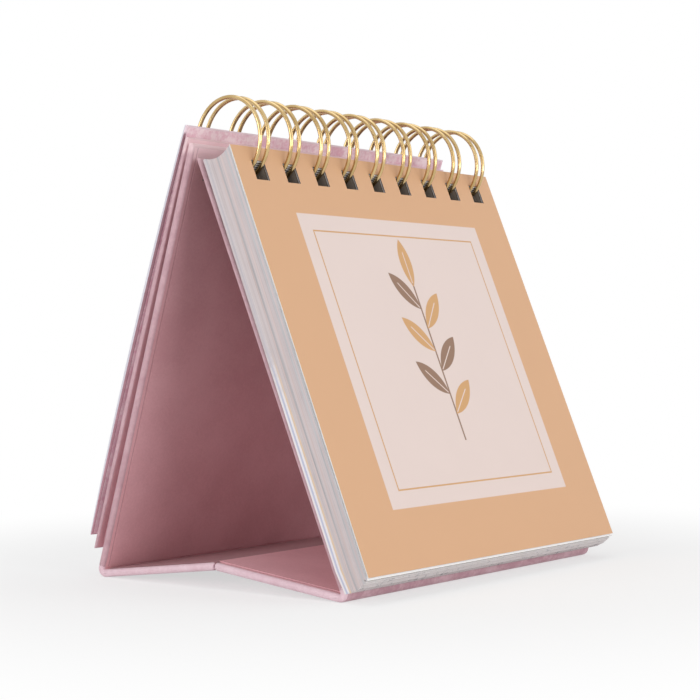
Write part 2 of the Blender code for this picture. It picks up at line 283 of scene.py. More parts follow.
# the turned-in papers carry that painted shadow line
turnIn = coveringPaper("turnIn", linerLook, linerEdgeShadowLook)
baseTurnIn = coveringPaper("baseTurnIn", baseLinerLook, linerEdgeShadowLook)
shadedRearBaseTurnIn = coveringPaper("shadedRearBaseTurnIn", shadedRearBaseLinerLook, linerEdgeShadowLook)
litCoverStrip = coveringPaper("litCoverStrip", litStripLook)
footPaper = coveringPaper("footPaper", footLook)
endPaper = coveringPaper("endPaper", endPaperLook)
coverRim = coveringPaper("coverRim", shadedCoverRimLook)
endEdge = coveringPaper("endEdge", endEdgeLook)

boardLook = {
    "dark": (0.20, 0.17, 0.15), "light": (0.36, 0.32, 0.28), "flecks": (2600.0, 3.0, 0.7), "range": (0.35, 0.65),
    "roughness": 0.9, "bump": (0.4, 0.0001),
}


# cut greyboard, seen only inside the punched holes
def cutBoard():
    material, shader, place = startFinish("cutBoard", {"Roughness": boardLook["roughness"]})
    flecks = place.grain(*boardLook["flecks"])
    color = flecks.step(*boardLook["range"]).blend(rgb(boardLook["dark"]), rgb(boardLook["light"]))
    feed(color, shader, "Base Color")
    feed(flecks.bump(*boardLook["bump"]), shader, "Normal")
    return material


greyBoard = cutBoard()

goldLook = {
    "deep": (0.52, 0.36, 0.16), "bright": (0.66, 0.49, 0.25), "streaks": (160.0, 3.0), "range": (0.3, 0.7),
    "roughness": 0.12, "swing": 0.08,
}


# plated wire: faint drawing marks and a little uneven plating
def goldPlating():
    material, shader, place = startFinish("goldPlating", {"Metallic": 1.0})
    plating = place.grain(*goldLook["streaks"])
    color = plating.step(*goldLook["range"]).blend(rgb(goldLook["deep"]), rgb(goldLook["bright"]))
    feed(color, shader, "Base Color")
    feed(goldLook["roughness"] + plating * goldLook["swing"], shader, "Roughness")
    return material


goldWire = goldPlating()

faceLook = {
    "color": (0.750, 0.720, 0.715), "white": (0.930, 0.920, 0.915), "shade": 0.98, "gloss": 0.35,
    "cloud": (50.0, 2.0), "range": (0.3, 0.7), "fibre": (5200.0, 2.0),
    "roughness": 0.5, "swing": 0.15, "bump": (0.08, 0.00005),
}


# blank side of a leaf
def leafFace(name, color):
    material, shader, place = startFinish(name, {"Specular IOR Level": faceLook["gloss"]})
    cloud = place.grain(*faceLook["cloud"])
    fibre = place.grain(*faceLook["fibre"])
    shaded = tuple(faceLook["shade"] * part for part in color)
    feed(cloud.step(*faceLook["range"]).blend(rgb(shaded), rgb(color)), shader, "Base Color")
    feed(faceLook["roughness"] + fibre * faceLook["swing"], shader, "Roughness")
    feed(fibre.bump(*faceLook["bump"]), shader, "Normal")
    return material


edgeLook = {
    "sheetStep": 0.22 * mm, "streak": 28.0 * mm, "roughness": 0.75, "gloss": 0.2, "bump": (0.3, 0.00006),
    "lines": (1.0, 2.0), "lineRange": (0.45, 0.70), "lineShare": 0.35,
    "broad": (0.3, 1.0), "broadRange": (0.40, 0.70), "broadShare": 0.30,
    "uneven": (240.0, 3.0, 0.6), "unevenRange": (0.35, 0.75),
    "specks": (700.0, 1.0), "speckRange": (0.63, 0.67), "speckColor": (0.11, 0.10, 0.13),
    "inkRange": (-58.0 * mm, -82.0 * mm), "ragged": 8.0 * mm,
}


# cut edges of a few sheets pressed together: fine lines across the block, uneven along it;
# some sheets show an ink of their own towards the bottom
def leafEdge(name, pale, dark, matrix, specks, ink=None):
    fixed = {"Roughness": edgeLook["roughness"], "Specular IOR Level": edgeLook["gloss"]}
    material, shader, place = startFinish(name, fixed)
    across = matrix.to_3x3() @ Vector((0.0, 0.0, 1.0))
    up = matrix.to_3x3() @ Vector((0.0, 1.0, 0.0))
    depth = place.along(tuple(across))
    height = place.along(tuple(up)) - matrix.translation.dot(up)
    sockets = {0: depth / edgeLook["sheetStep"], 1: height / edgeLook["streak"]}
    drawn = place.node("ShaderNodeCombineXYZ", {}, sockets)
    lines = drawn.grain(*edgeLook["lines"]).step(*edgeLook["lineRange"])
    broad = drawn.grain(*edgeLook["broad"]).step(*edgeLook["broadRange"])
    uneven = place.grain(*edgeLook["uneven"]).step(*edgeLook["unevenRange"])
    drawing = lines * (edgeLook["lineShare"] + edgeLook["lineShare"] * uneven) + broad * edgeLook["broadShare"]
    paper = drawing.blend(rgb(pale), rgb(dark))
    if ink:
        shown = (height + (uneven - 0.5) * edgeLook["ragged"]).step(*edgeLook["inkRange"])
        paper = shown.blend(paper, rgb(ink))
    marks = place.grain(*edgeLook["specks"]).step(*edgeLook["speckRange"]) * specks
    feed(marks.blend(paper, rgb(edgeLook["speckColor"])), shader, "Base Color")
    feed(lines.bump(*edgeLook["bump"]), shader, "Normal")
    return material


# local frame of a flat piece: X across the book, Z square to the node's widest face
def flatFrame(node, facing, origin):
    faces = [face for face in frame["nodes"][node].data.polygons if face.normal.dot(facing) > 0.5]
    normal = max(faces, key=lambda face: face.area).normal.normalized()
    across = Vector((1.0, 0.0, 0.0))
    up = normal.cross(across)
    turn = Matrix((across, up, normal)).transposed().to_4x4()
    return Matrix.Translation(origin) @ turn


forward = Vector((0.0, -1.0, 0.0))
upward = Vector((0.0, 0.0, 1.0))
leafFrame = flatFrame("leaf_01_sheet", forward, ringAxis)
frontFrame = flatFrame("front_leg_liner", forward, ringAxis)
rearFrame = flatFrame("rear_leg_liner", forward, ringAxis)
backCoverFrame = flatFrame("back_cover_liner", forward, ringAxis)
frontCoverFrame = flatFrame("front_cover_liner", forward, ringAxis)
baseFrontFrame = flatFrame("base_front_liner", upward, frontCorner)
baseRearFrame = flatFrame("base_rear_liner", -upward, rearCorner)


# a node's lowest and highest corner in a local frame
def localBox(node, matrix):
    back = matrix.inverted()
    points = [back @ vertex.co for vertex in frame["nodes"][node].data.vertices]
    low = Vector([min(point[i] for point in points) for i in range(3)])
    high = Vector([max(point[i] for point in points) for i in range(3)])
    return low, high


def spread(low, high, count):
    return [low + (high - low) * i / count for i in range(count + 1)]


punchLook = {"count": 9, "pitch": 12.7 * mm, "width": 5.2 * mm, "height": 5.8 * mm, "margin": 4.0 * mm}


# left and right sides of the punched holes
def holeStops():
    first = -(punchLook["count"] - 1) / 2 * punchLook["pitch"]
    centres = [first + i * punchLook["pitch"] for i in range(punchLook["count"])]
    return [x + side * punchLook["width"] / 2 for x in centres for side in (-1, 1)]


def acrossStops(low, high):
    return [low.x] + holeStops() + [high.x]


# bottom and top of the holes below a bound edge
def holeRow(high):
    top = high.y - punchLook["margin"]
    return top - punchLook["height"], top


# a slab on a grid of stops, left open at the punched holes: faces get 0 top, 1 back, 2 edges, 3 hole walls
def punchedSlab(xs, ys, low, high, hole=None):
    shape = bmesh.new()
    corners = {}
    holeXs = holeStops() if hole else []

    def corner(i, j, level):
        key = (i, j, level)
        if key not in corners:
            corners[key] = shape.verts.new((xs[i], ys[j], (low, high)[level]))
        return corners[key]

    def within(i, j):
        return 0 <= i < len(xs) - 1 and 0 <= j < len(ys) - 1

    def punched(i, j):
        if not within(i, j):
            return True
        if not hole or not hole[0] - hair < (ys[j] + ys[j + 1]) / 2 < hole[1] + hair:
            return False
        middle = (xs[i] + xs[i + 1]) / 2
        return any(holeXs[k] < middle < holeXs[k + 1] for k in range(0, len(holeXs), 2))

    def wall(a, b, index):
        face = shape.faces.new((corner(*a, 0), corner(*b, 0), corner(*b, 1), corner(*a, 1)))
        face.material_index = index

    for i in range(len(xs) - 1):
        for j in range(len(ys) - 1):
            if punched(i, j):
                continue
            ring = [(i, j), (i + 1, j), (i + 1, j + 1), (i, j + 1)]
            shape.faces.new([corner(*one, 1) for one in ring]).material_index = 0
            shape.faces.new([corner(*one, 0) for one in reversed(ring)]).material_index = 1
            sides = [(i, j - 1), (i + 1, j), (i, j + 1), (i - 1, j)]
            for k, side in enumerate(sides):
                if punched(*side):
                    wall(ring[k], ring[(k + 1) % 4], 3 if within(*side) else 2)
    return shape


rimLook = {"segments": 5, "profile": 0.5, "corner": 1.0}  # a corner turns by more than this, in radians


# rounds the outer rim of a slab, leaving out the ends that run into a hinge
def roundRim(shape, radius, skip=()):
    def kinds(edge):
        return {face.material_index for face in edge.link_faces}

    def skipped(y):
        return any(abs(y - one) < hair for one in skip)

    rim = []
    upright = []
    for edge in shape.edges:
        first, second = (vertex.co for vertex in edge.verts)
        if kinds(edge) == {2}:
            if edge.calc_face_angle(0.0) > rimLook["corner"] and not skipped(first.y):
                upright.append(edge)
        elif 2 in kinds(edge) and 3 not in kinds(edge) and not skipped((first.y + second.y) / 2):
            rim.append(edge)
    bmesh.ops.recalc_face_normals(shape, faces=shape.faces)
    bmesh.ops.bevel(shape, geom=rim + upright, offset=radius, segments=rimLook["segments"],
                    profile=rimLook["profile"], affect="EDGES", clamp_overlap=True, material=2)


sectionLook = {"arc": 6, "least": 0.05 * mm}


# outline of a board's section in x and z, half-round at both sides
def boardSection(half, low, high, rim, inset=0.0):
    radius = max(rim - inset, sectionLook["least"])
    x = half - inset - radius
    bottom = low + inset + radius
    top = high - inset - radius
    points = []
    for centre, start in (((x, bottom), -90.0), ((x, top), 0.0), ((-x, top), 90.0), ((-x, bottom), 180.0)):
        for angle in spread(math.radians(start), math.radians(start + 90.0), sectionLook["arc"]):
            points.append((centre[0] + radius * math.cos(angle), centre[1] + radius * math.sin(angle)))
    return points


# joins a row of sections into a closed bar: faces get 0 top, 1 back, 2 edges
def sweptBar(sections):
    shape = bmesh.new()
    rows = [[shape.verts.new(point) for point in section] for section in sections]
    count = len(rows[0])
    flats = {count // 2 - 1: 0, count - 1: 1}
    for first, second in zip(rows, rows[1:]):
        for i in range(count):
            j = (i + 1) % count
            face = shape.faces.new((first[i], first[j], second[j], second[i]))
            face.material_index = flats.get(i, 2)
    for row in (rows[0], rows[-1]):
        shape.faces.new(row).material_index = 2
    return shape


# closes a mesh up as a piece, placed from its local frame
def makePiece(name, shape, matrix, finishes, smooth=40.0):
    bmesh.ops.recalc_face_normals(shape, faces=shape.faces)
    mesh = bpy.data.meshes.new(name)
    shape.to_mesh(mesh)
    shape.free()
    mesh.transform(matrix)
    for finish in finishes:
        mesh.materials.append(finish)
    mesh.shade_smooth()
    mesh.set_sharp_from_angle(angle=math.radians(smooth))
    piece = bpy.data.objects.new(name, mesh)
    bpy.context.scene.collection.objects.link(piece)
    return piece


panelLook = {
    "rows": 12, "rim": 1.0 * mm, "coverRim": 0.42 * mm, "foot": 5.0 * mm, "outerShare": 0.60,
    "bowEnd": 0.985, "bowPower": 0.7, "bowTop": 0.25,
}


# a covered board stands for its greyboard and its case paper
def settleBoard(name, shape, matrix, look):
    finishes = [*look["sides"], look["edge"], greyBoard, look.get("outerEdge", look["edge"])]
    piece = makePiece(name + "Covered", shape, matrix, finishes)
    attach(piece, look["body"])
    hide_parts(name + "_case_paper", name + "_greyboard")


# a soft board: the near side drawn in above its foot, both sides bowed back between its ends
def softenBoard(shape, low, high, look):
    for vertex in shape.verts:
        share = (high.y - vertex.co.y) / (high.y - low.y)
        down = min(max(share / panelLook["bowEnd"], 0.0), 1.0)
        near = (vertex.co.z - low.z) / (high.z - low.z)
        foot = min((vertex.co.y - low.y) / panelLook["foot"], 1.0)
        bow = math.sin(math.pi * down) ** panelLook["bowPower"] + panelLook["bowTop"] * (1.0 - down)
        vertex.co.z -= bow * (look["bowFar"] * (1.0 - near) + look["bowNear"] * near)
        vertex.co.z -= look["drawn"] * foot * near


# a leg or cover, punched along its top; the outer part of its edge may have a finish of its own
def boundBoard(name, matrix, look):
    low, high = localBox(name + "_case_paper", matrix)
    hole = holeRow(high)
    ys = [low.y] + spread(low.y + panelLook["foot"], hole[0], panelLook["rows"]) + [hole[1], high.y]
    shape = punchedSlab(acrossStops(low, high), ys, low.z, high.z, hole)
    roundRim(shape, look["rim"], [low.y] if look["hinged"] else [])
    for face in shape.faces:
        share = (face.calc_center_median().z - low.z) / (high.z - low.z)
        if face.material_index == 2 and share < panelLook["outerShare"]:
            face.material_index = 4
    softenBoard(shape, low, high, look)
    settleBoard(name, shape, matrix, look)


# the front cover's end paper follows the bow of its board
def coverLining():
    low, high = localBox("front_cover_case_paper", frontCoverFrame)
    lineLow, lineHigh = localBox("front_cover_liner", frontCoverFrame)
    hole = holeRow(high)
    ys = spread(lineLow.y, hole[0], panelLook["rows"]) + [hole[1], lineHigh.y]
    shape = punchedSlab(acrossStops(lineLow, lineHigh), ys, lineLow.z, lineHigh.z, hole)
    softenBoard(shape, low, high, frontCoverLook)
    piece = makePiece("frontCoverLining", shape, frontCoverFrame, [endPaper] * 4)
    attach(piece, "front_cover")
    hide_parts("front_cover_liner")


# a base panel, open towards its hinges at both ends
def basePanel(name, matrix, look):
    low, high = localBox(name + "_case_paper", matrix)
    section = boardSection(high.x, low.z, high.z, look["rim"])
    rows = spread(low.y, high.y, panelLook["rows"])
    settleBoard(name, sweptBar([[(x, y, z) for x, z in section] for y in rows]), matrix, look)


# the sides are the finishes towards local +Z and -Z, the inner one in the liner's colour
frontLegLook = {
    "body": "stand_front", "sides": (casePaper, turnIn), "edge": shadedLegRim,
    "rim": panelLook["rim"], "hinged": True, "bowFar": 0.0, "bowNear": 0.0, "drawn": 0.75 * mm,
}
rearLegLook = {
    "body": "stand_rear", "sides": (turnIn, casePaper), "edge": shadedLegRim,
    "rim": panelLook["rim"], "hinged": True, "bowFar": 0.0, "bowNear": 0.0, "drawn": 0.0,
}
backCoverLook = {
    "body": "stand_rear", "sides": (linerPaper, casePaper), "edge": shadedLegRim,
    "rim": panelLook["coverRim"], "hinged": False, "bowFar": 0.45 * mm, "bowNear": 0.0, "drawn": 0.0,
}
frontCoverLook = {
    "body": "front_cover", "sides": (litCoverStrip, casePaper), "edge": coverRim, "outerEdge": endEdge,
    "rim": panelLook["coverRim"], "hinged": False, "bowFar": 1.4 * mm, "bowNear": 0.6 * mm, "drawn": 0.0,
}
baseFrontLook = {
    "body": "base_front", "sides": (baseTurnIn, casePaper), "edge": litBaseRim, "rim": panelLook["rim"],
}
baseRearLook = {
    "body": "base_rear", "sides": (casePaper, shadedRearBaseTurnIn), "edge": litBaseRim, "rim": panelLook["rim"],
}
boundBoard("front_leg", frontFrame, frontLegLook)
boundBoard("rear_leg", rearFrame, rearLegLook)
boundBoard("back_cover", backCoverFrame, backCoverLook)
boundBoard("front_cover", frontCoverFrame, frontCoverLook)
coverLining()
basePanel("base_front", baseFrontFrame, baseFrontLook)
basePanel("base_rear", baseRearFrame, baseRearLook)

# the other pasted liners keep their solids and take their papers
boardLiners = {
    "front_leg": linerPaper, "rear_leg": linerPaper, "back_cover": linerPaper,
    "base_front": baseLiner, "base_rear": shadedRearBaseLiner,
}
for board, paper in boardLiners.items():
    liner = frame["nodes"][board + "_liner"].data
    liner.materials.clear()
    liner.materials.append(paper)
print("boards covered and lined")


cornerLook = {"heart": 0.25 * mm, "tuck": 0.9 * mm, "flush": 0.015 * mm, "arc": 18, "smooth": 50.0}


# the paper corner between a leg and a base panel: a board's section swept about the hinge, its ends tucked in
def paperCorner(name, centre, legFrame, baseFrame, legSide, baseSide):
    low, high = localBox(name + "_hinge", Matrix.Translation(centre))
    reach = -low.z - cornerLook["flush"]
    legOut = legFrame.to_3x3() @ Vector((0.0, 0.0, legSide))
    legUp = legFrame.to_3x3() @ Vector((0.0, 1.0, 0.0))
    baseOut = baseFrame.to_3x3() @ Vector((0.0, 0.0, baseSide))
    baseIn = baseFrame.to_3x3() @ Vector((0.0, 1.0, 0.0))
    axis = legOut.cross(baseOut).normalized()
    stops = [(legOut, legUp * cornerLook["tuck"])]
    for angle in spread(0.0, legOut.angle(baseOut), cornerLook["arc"]):
        stops.append((Matrix.Rotation(angle, 3, axis) @ legOut, Vector()))
    stops.append((baseOut, baseIn * cornerLook["tuck"]))
    section = boardSection(high.x, cornerLook["heart"], reach, panelLook["rim"])
    across = Vector((1.0, 0.0, 0.0))
    rows = [[centre + across * x + ray * z + tuck for x, z in section] for ray, tuck in stops]
    finishes = [footPaper, linerPaper, litBaseRim]
    piece = makePiece(name + "Corner", sweptBar(rows), Matrix.Identity(4), finishes, cornerLook["smooth"])
    centre + legOut * reach
    centre + baseOut * reach
    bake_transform(piece)
    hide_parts(name + "_hinge")


paperCorner("front", frontCorner, frontFrame, baseFrontFrame, 1.0, -1.0)
paperCorner("rear", rearCorner, rearFrame, baseRearFrame, -1.0, 1.0)

foldLook = {"gap": 0.25 * mm, "round": 0.5 * mm, "rows": 4, "keep": 0.16, "clear": 0.02 * mm, "slant": 1.1}
foldMiddle = (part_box("mid_fold_front")[1].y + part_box("mid_fold_rear")[0].y) / 2


# half of the base's middle fold: the soft end of the panel
def softFold(name, matrix, body, sides):
    low, high = localBox("base_" + name + "_case_paper", matrix)
    crease = localBox("mid_fold_" + name, matrix)[1].y
    start = high.y
    end = crease - foldLook["gap"] - foldLook["round"]
    rows = [(start, 0.0), (end, 0.0)]
    for angle in spread(0.0, math.pi / 2, foldLook["rows"])[1:]:
        rows.append((end + foldLook["round"] * math.sin(angle), foldLook["round"] * (1.0 - math.cos(angle))))
    sections = []
    for y, inset in rows:
        section = boardSection(high.x, low.z, high.z, panelLook["rim"], inset)
        sections.append([(x, y, z) for x, z in section])
    shape = sweptBar(sections)
    # both halves end upright, so that they meet evenly along the crease
    slope = matrix.to_3x3()
    for vertex in shape.verts:
        share = (vertex.co.y - start) / (crease - start)
        meet = (foldMiddle - matrix.translation.y - vertex.co.z * slope[1][2]) / slope[1][1]
        vertex.co.y += share * (meet - crease)
    piece = makePiece("midFold" + name.title(), shape, matrix, [*sides, litBaseRim])
    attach(piece, body)
    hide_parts("mid_fold_" + name)
    tuple(matrix @ Vector((0.0, start, 0.0)))
    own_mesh(piece)


# the lining runs on to the crease, where the two halves keep together on the line between the hinges
def foldLining(name, matrix, body, lining):
    low, high = localBox("base_" + name + "_liner", matrix)
    crest = (foldMiddle - matrix.translation.y) / matrix.to_3x3()[1][1] - foldLook["clear"]
    shape = punchedSlab([low.x, high.x], spread(high.y, crest, foldLook["rows"]), low.z, high.z)
    for vertex in shape.verts:
        share = (vertex.co.y - high.y) / (crest - high.y)
        vertex.co.y -= share * foldLook["slant"] * abs(vertex.co.z)
    piece = makePiece("foldLining" + name.title(), shape, matrix, [lining] * 3)
    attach(piece, body)


softFold("front", baseFrontFrame, "base_front", [baseLiner, casePaper])
softFold("rear", baseRearFrame, "base_rear", [casePaper, shadedRearBaseLiner])
foldLining("front", baseFrontFrame, "base_front", baseLiner)
foldLining("rear", baseRearFrame, "base_rear", shadedRearBaseLiner)
print("corners and middle fold made")

# lengths on the page are in millimetres, from its top left corner
printLook = {
    "side": 120.0, "panelLeft": 18.34, "panelTop": 18.92, "panelSize": 84.86,
    "peach": (0.701, 0.412, 0.235), "panel": (0.791, 0.658, 0.612),
    "tan": (0.645, 0.365, 0.160), "taupe": (0.295, 0.172, 0.112),
    "soft": 0.12, "fineSoft": 0.1, "ruleInset": 5.0, "ruleWidth": 0.45,
    "stemFoot": 0.80, "stemWidth": 0.65, "stemStart": (0.0, 0.2), "stemEnd": (48.2, 48.0),
    "leafLong": 15.0, "leafWide": 5.2, "vein": (0.22, 0.12), "veinStart": (0.5, 1.0), "veinEnd": (1.5, 1.4),
    "tooth": (700.0, 2.0), "cloud": (6.0, 2.0), "cloudBase": 0.985, "cloudSwing": 0.03,
    "gloss": 0.4, "roughness": 0.42, "swing": 0.14, "bump": (0.05, 0.00004),
}
# leaves of the printed sprig: place along the stem, lean in degrees, colour
sprigLeaves = [
    (8.0, 48.0, "tan"), (14.0, -48.0, "taupe"), (21.0, 46.0, "taupe"), (27.0, -46.0, "tan"),
    (34.0, 42.0, "tan"), (40.0, -42.0, "taupe"), (47.0, 0.0, "tan"),
]


# full up to a half width, with a soft edge
def inkWithin(distance, half, soft):
    return distance.step(half + soft, half - soft)


# the sprig's stem and leaves over the ink so far, from the distance across the stem and the rise from its foot
def printedSprig(ink, across, rise):
    stem = inkWithin(across.size(), printLook["stemWidth"] / 2, printLook["soft"])
    stem = stem * rise.step(*printLook["stemStart"]) * rise.step(*printLook["stemEnd"])
    ink = stem.blend(ink, rgb(printLook["taupe"]))
    half, bulge = printLook["leafLong"] / 2, printLook["leafWide"] / 2
    radius = (half * half + bulge * bulge) / (2 * bulge)
    veinEnd = [half * share for share in printLook["veinEnd"]]
    for start, lean, color in sprigLeaves:
        turn = math.radians(lean)
        up = rise - start
        forth = up * math.cos(turn) + across * math.sin(turn)
        aside = (across * math.cos(turn) - up * math.sin(turn)).size()
        away = aside + (radius - bulge)
        middle = forth - half
        inside = inkWithin((away * away + middle * middle).root(), radius, printLook["fineSoft"])
        vein = aside.step(*printLook["vein"]) * forth.step(*printLook["veinStart"]) * forth.step(*veinEnd)
        ink = (inside * (1.0 - vein)).blend(ink, rgb(printLook[color]))
    return ink


# the printed page: a pale panel on peach, with a ruled border and a sprig
def printedPage():
    material, shader, uv = startFinish("printedPage", {"Specular IOR Level": printLook["gloss"]}, "UV")
    x = uv.part("X") * printLook["side"]
    y = (1.0 - uv.part("Y")) * printLook["side"]
    left, top, size = printLook["panelLeft"], printLook["panelTop"], printLook["panelSize"]
    across = x - (left + size / 2)
    fromMiddle = across.size().most((y - (top + size / 2)).size())
    panel = inkWithin(fromMiddle, size / 2, printLook["soft"])
    ink = panel.blend(rgb(printLook["peach"]), rgb(printLook["panel"]))
    fromRule = (fromMiddle - (size / 2 - printLook["ruleInset"])).size()
    border = inkWithin(fromRule, printLook["ruleWidth"] / 2, printLook["fineSoft"])
    ink = border.blend(ink, rgb(printLook["tan"]))
    ink = printedSprig(ink, across, (top + size * printLook["stemFoot"]) - y)
    tooth = uv.grain(*printLook["tooth"])
    cloud = uv.grain(*printLook["cloud"])
    feed(ink * (printLook["cloudBase"] + cloud * printLook["cloudSwing"]), shader, "Base Color")
    feed(printLook["roughness"] + tooth * printLook["swing"], shader, "Roughness")
    feed(tooth.bump(*printLook["bump"]), shader, "Normal")
    return material


# light and dark paper of the cut edges that are not in the block's side; the dark ones are painted shade in the
# holes and a painted shadow line below the printed page
cutTints = {
    "first": ((0.80, 0.79, 0.79), (0.62, 0.61, 0.62)),
    # painted shade on the first leaf's hole walls
    "shadedFirstHole": ((0.300, 0.265, 0.280), (0.170, 0.145, 0.150)),
    # painted shade on the other leaves' hole walls, and a painted shadow line along the bottom of the leaf
    # behind the page
    "deep": ((0.27, 0.23, 0.20), (0.09, 0.075, 0.06)),
}
pageLook = {"bendReach": 6.0 * mm, "bendRows": 16, "rows": 10, "specks": 0.15}


# the first leaf in one sheet, with closer rows where its margin and sheet meet
def firstLeaf():
    low, high = localBox("leaf_01_margin", leafFrame)
    bottom = localBox("leaf_01_sheet", leafFrame)[0].y
    crease = (leafFrame.inverted() @ leafCrease).y
    hole = holeRow(high)
    bendLow = crease - pageLook["bendReach"]
    bendHigh = min(crease + pageLook["bendReach"], hole[0])
    ys = spread(bottom, bendLow, pageLook["rows"])[:-1] + spread(bendLow, bendHigh, pageLook["bendRows"])
    ys += [hole[1], high.y] if bendHigh == hole[0] else [hole[0], hole[1], high.y]
    shape = punchedSlab(acrossStops(low, high), ys, low.z, high.z, hole)
    layer = shape.loops.layers.uv.new("sheet")
    for face in shape.faces:
        for loop in face.loops:
            x, y = loop.vert.co.xy
            loop[layer].uv = ((x - low.x) / (high.x - low.x), (y - bottom) / (high.y - bottom))
    pageBack = leafFace("pageBack", faceLook["color"])
    whiteEdge = leafEdge("whiteEdge", *cutTints["first"], leafFrame, pageLook["specks"])
    # painted shade on the hole walls
    shadedHoleEdge = leafEdge("shadedHoleEdge", *cutTints["shadedFirstHole"], leafFrame, 0.0)
    piece = makePiece("firstLeaf", shape, leafFrame, [printedPage(), pageBack, whiteEdge, shadedHoleEdge])
    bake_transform(piece)
    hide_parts("leaf_01_margin", "leaf_01_sheet")


firstLeaf()

# turns are the step and start of a sine, in radians
blockLook = {
    "rows": 8, "foot": 6.0 * mm, "grow": 0.70 * mm, "fan": 0.90 * mm, "rise": 2.1 * mm,
    "shift": 0.04 * mm, "inwardTurn": (2.4, 0.6), "dropTurn": (1.7, 0.0), "drops": (-0.22 * mm, 0.60 * mm),
    "ripple": 0.05 * mm, "rippleTurn": (5.0, 1.3),
}
# paper of the block's cut edges: light, dark, and an ink that runs out to the edge lower down
edgeTints = {
    "plain": ((0.630, 0.555, 0.560), (0.450, 0.390, 0.400), None),
    "warm": ((0.650, 0.550, 0.540), (0.480, 0.395, 0.385), None),
    "grey": ((0.570, 0.545, 0.560), (0.390, 0.375, 0.390), None),
    "dim": ((0.500, 0.465, 0.480), (0.320, 0.295, 0.310), None),
    "cool": ((0.600, 0.555, 0.585), (0.420, 0.390, 0.420), (0.520, 0.540, 0.690)),
    "orange": ((0.620, 0.550, 0.550), (0.450, 0.390, 0.400), (0.740, 0.570, 0.420)),
    "white": ((0.640, 0.580, 0.590), (0.460, 0.410, 0.420), (0.820, 0.780, 0.790)),
}
edgeOrder = ["grey", "plain", "grey", "plain", "plain", "warm", "plain", "dim", "warm", "plain", "plain",
             "orange", "white", "cool", "white"]


def sway(turn, place):
    return math.sin(turn[0] * place + turn[1])


# sets a leaf of the block a little out of line, thicker towards the back and bottom
def settleLeaf(shape, low, high, pitch, i, count):
    inward = blockLook["shift"] * (0.5 + 0.5 * sway(blockLook["inwardTurn"], i))
    drop = blockLook["shift"] * sway(blockLook["dropTurn"], i)
    if i < len(blockLook["drops"]):
        drop = blockLook["drops"][i]
    for vertex in shape.verts:
        down = (high.y - vertex.co.y) / (high.y - low.y)
        side = vertex.co.x / high.x
        behind = (i + (high.z - vertex.co.z) / pitch) / count
        foot = min((vertex.co.y - low.y) / blockLook["foot"], 1.0)
        vertex.co.z -= behind * (blockLook["grow"] * foot + blockLook["fan"] * (1.0 - down))
        vertex.co.z += blockLook["ripple"] * sway(blockLook["rippleTurn"], down) * side * side
        vertex.co.x -= inward * side * side * side
        vertex.co.y += drop * down


# the other leaves: each closes up the space to its neighbour, and the rear ones reach higher above their holes
def innerLeaves():
    face = leafFace("leafFace", faceLook["color"])
    whiteFace = leafFace("whiteFace", faceLook["white"])
    edges = {}
    for name, (pale, dark, ink) in edgeTints.items():
        edges[name] = leafEdge("leafEdge." + name, pale, dark, leafFrame, 0.0, ink)
    speckled = leafEdge("leafEdge.speckled", *edgeTints["plain"][:2], leafFrame, 1.0)
    # painted shade on the hole walls, and a painted shadow line at the bottom of the leaf behind the page
    paintedShadeEdge = leafEdge("leafEdge.paintedShade", *cutTints["deep"], leafFrame, 0.0)
    names = sorted(name for name in frame["nodes"] if name.startswith("leaf_") and name[5:].isdigit())
    pitch = localBox(names[0], leafFrame)[0].z - localBox(names[1], leafFrame)[0].z
    for i, name in enumerate(names):
        low, high = localBox(name, leafFrame)
        hole = holeRow(high)
        top = high.y + blockLook["rise"] * ((i + 0.5) / len(names)) ** 2
        ys = [low.y] + spread(low.y + blockLook["foot"], hole[0], blockLook["rows"]) + [hole[1], top]
        shape = punchedSlab(acrossStops(low, high), ys, high.z - pitch, high.z, hole)
        for cut in shape.faces:
            cut.normal_update()
            if cut.material_index == 2 and cut.normal.y < -0.9:  # the bottom edge
                cut.material_index = 4
        settleLeaf(shape, low, high, pitch, i, len(names))
        finishes = [face if i else whiteFace, face, edges[edgeOrder[i]], paintedShadeEdge, speckled if i else paintedShadeEdge]
        piece = makePiece(name + "Sheets", shape, leafFrame, finishes)
        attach(piece, "stand_front")
        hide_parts(name)


innerLeaves()
print("leaves made")

# angles are in degrees round the ring, from its lowest point along the leaf
wireLook = {
    "radius": 11.56 * mm, "thick": 1.15 * mm, "spacing": 3.3 * mm, "steps": 56, "link": 44.0, "tip": 51.1,
    "tuck": 0.55 * mm, "tuckStart": 82.5, "tipSteps": 10, "bend": 0.8 * mm, "bendSteps": 5, "sides": 4,
}


def ringPoint(x, degrees, radius):
    turn = math.radians(degrees)
    return Vector((x, -radius * math.cos(turn), -radius * math.sin(turn)))


# one hairpin loop: from its left link over the top to the tip, and back to its right link
def hairpin(centre):
    half = wireLook["spacing"] / 2
    radius = wireLook["radius"]
    tipRadius = radius - wireLook["tuck"]
    start = wireLook["link"] - math.degrees(wireLook["bend"] / radius)
    end = wireLook["tip"] - 360.0 + math.degrees(half / tipRadius)

    def loopRadius(angle):
        left = (angle + 360.0 - wireLook["tip"]) / (wireLook["tuckStart"] - wireLook["tip"])
        return radius - wireLook["tuck"] * (1.0 - min(max(left, 0.0), 1.0))

    angles = spread(start, end, wireLook["steps"])
    left = [ringPoint(centre - half, angle, loopRadius(angle)) for angle in angles]
    right = [ringPoint(centre + half, angle, loopRadius(angle)) for angle in angles]
    tip = []
    for turn in spread(math.pi, 0.0, wireLook["tipSteps"])[1:-1]:
        angle = end - math.degrees(half * math.sin(turn) / tipRadius)
        tip.append(ringPoint(centre + half * math.cos(turn), angle, tipRadius))
    return left + tip + right[::-1]


